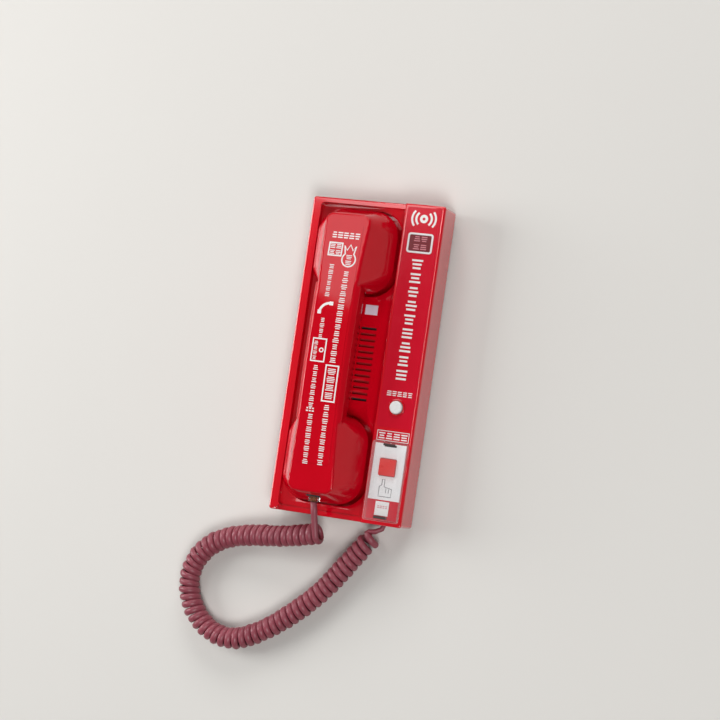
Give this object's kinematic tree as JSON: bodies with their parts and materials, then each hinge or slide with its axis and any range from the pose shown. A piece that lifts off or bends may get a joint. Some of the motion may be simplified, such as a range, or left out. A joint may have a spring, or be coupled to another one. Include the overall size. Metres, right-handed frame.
{
  "type": "wall fire alarm telephone",
  "caption": "Wall-mounted emergency fire-report telephone: handset in a cradle on the left, raised panel with lamp, call button and covered square fire button on the right, curly cord.",
  "frame": {"origin": "middle of the flat back of the case, on the wall plane", "axes": "+X to the right as seen by the user, +Y towards the earpiece end (up on the wall), +Z out of the wall towards the user"},
  "size_m": [0.1666, 0.3253, 0.0517],
  "materials": {
    "black_plastic": "matte",
    "black_rubber": "matte",
    "board_green": "satin",
    "button_red": "satin",
    "capacitor_black": "satin",
    "case_red": "gloss",
    "clear_acrylic": "polished",
    "cord_maroon": "satin",
    "frosted_lens": "satin",
    "handset_red": "gloss",
    "label_white": "satin",
    "lamp_dark_red": "gloss",
    "led_clear": "polished",
    "natural_plastic": "matte",
    "overlay_red": "satin",
    "plate_white": "satin",
    "rear_grey": "matte",
    "relay_white": "matte",
    "speaker_steel": "satin",
    "spring_steel": "polished",
    "terminal_brass": "satin",
    "zinc_steel": "brushed"
  },
  "bodies": {
    "base": {"base_jack": "black_plastic", "base_plug": "clear_acrylic", "board_screws": "zinc_steel", "call_button_ring": "case_red", "call_button_spring": "spring_steel", "call_button_switch": "black_plastic", "call_spring_seat": "natural_plastic", "capacitors": "capacitor_black", "case_screws": "zinc_steel", "cord_coil": "cord_maroon", "cord_lead_base": "cord_maroon", "cradle_pads": "black_rubber", "fire_button_spring": "spring_steel", "fire_button_switch": "black_plastic", "fire_spring_seat": "natural_plastic", "front_housing": "case_red", "hook_spring": "spring_steel", "hook_switch_body": "black_plastic", "lamp_frame": "label_white", "lamp_leds": "led_clear", "lamp_window": "lamp_dark_red", "line_transformer": "black_plastic", "logic_chips": "black_plastic", "main_board": "board_green", "name_plate": "label_white", "panel_overlay": "overlay_red", "rear_cover": "rear_grey", "red_plate": "overlay_red", "relays": "relay_white", "ringer_speaker": "speaker_steel", "speaker_gasket": "black_rubber", "status_led": "led_clear", "status_lens": "frosted_lens", "terminal_block": "natural_plastic", "terminal_screws": "terminal_brass", "title_plate": "overlay_red", "white_plate": "plate_white"},
    "handset": {"balance_weight": "zinc_steel", "cord_lead_handset": "cord_maroon", "handset_inner_shell": "handset_red", "handset_jack": "black_plastic", "handset_label": "overlay_red", "handset_outer_shell": "handset_red", "handset_plug": "clear_acrylic", "handset_screws": "zinc_steel", "microphone_capsule": "speaker_steel", "microphone_grommet": "black_rubber", "receiver_capsule": "speaker_steel", "receiver_gasket": "black_rubber"},
    "hook_plunger": {"hook_plunger": "natural_plastic"},
    "call_button": {"call_button_cap": "plate_white"},
    "fire_button": {"fire_button_cap": "button_red"},
    "clear_cover": {"protective_cover": "clear_acrylic"}
  },
  "joints": [
    {"name": "handset_lift", "type": "slide", "parent": "base", "child": "handset", "axis": [0, 0, 1], "range_m": [0, 0.06]},
    {"name": "hook_rise", "type": "slide", "parent": "base", "child": "hook_plunger", "axis": [0, 0, 1], "range_m": [0, 0.0035], "deforming": ["hook_spring"]},
    {"name": "call_button_press", "type": "slide", "parent": "base", "child": "call_button", "axis": [0, 0, -1], "range_m": [0, 0.002], "stiffness_N_per_m": 400, "deforming": ["call_button_spring"]},
    {"name": "fire_button_press", "type": "slide", "parent": "base", "child": "fire_button", "axis": [0, 0, -1], "range_m": [0, 0.0025], "stiffness_N_per_m": 600, "deforming": ["fire_button_spring"]},
    {"name": "cover_release", "type": "slide", "parent": "base", "child": "clear_cover", "axis": [0, 0, 1], "range_m": [0, 0.03]}
  ],
  "couplings": [
    {"joint": "hook_rise", "follows": "handset_lift", "ratio": 0.05833}
  ]
}
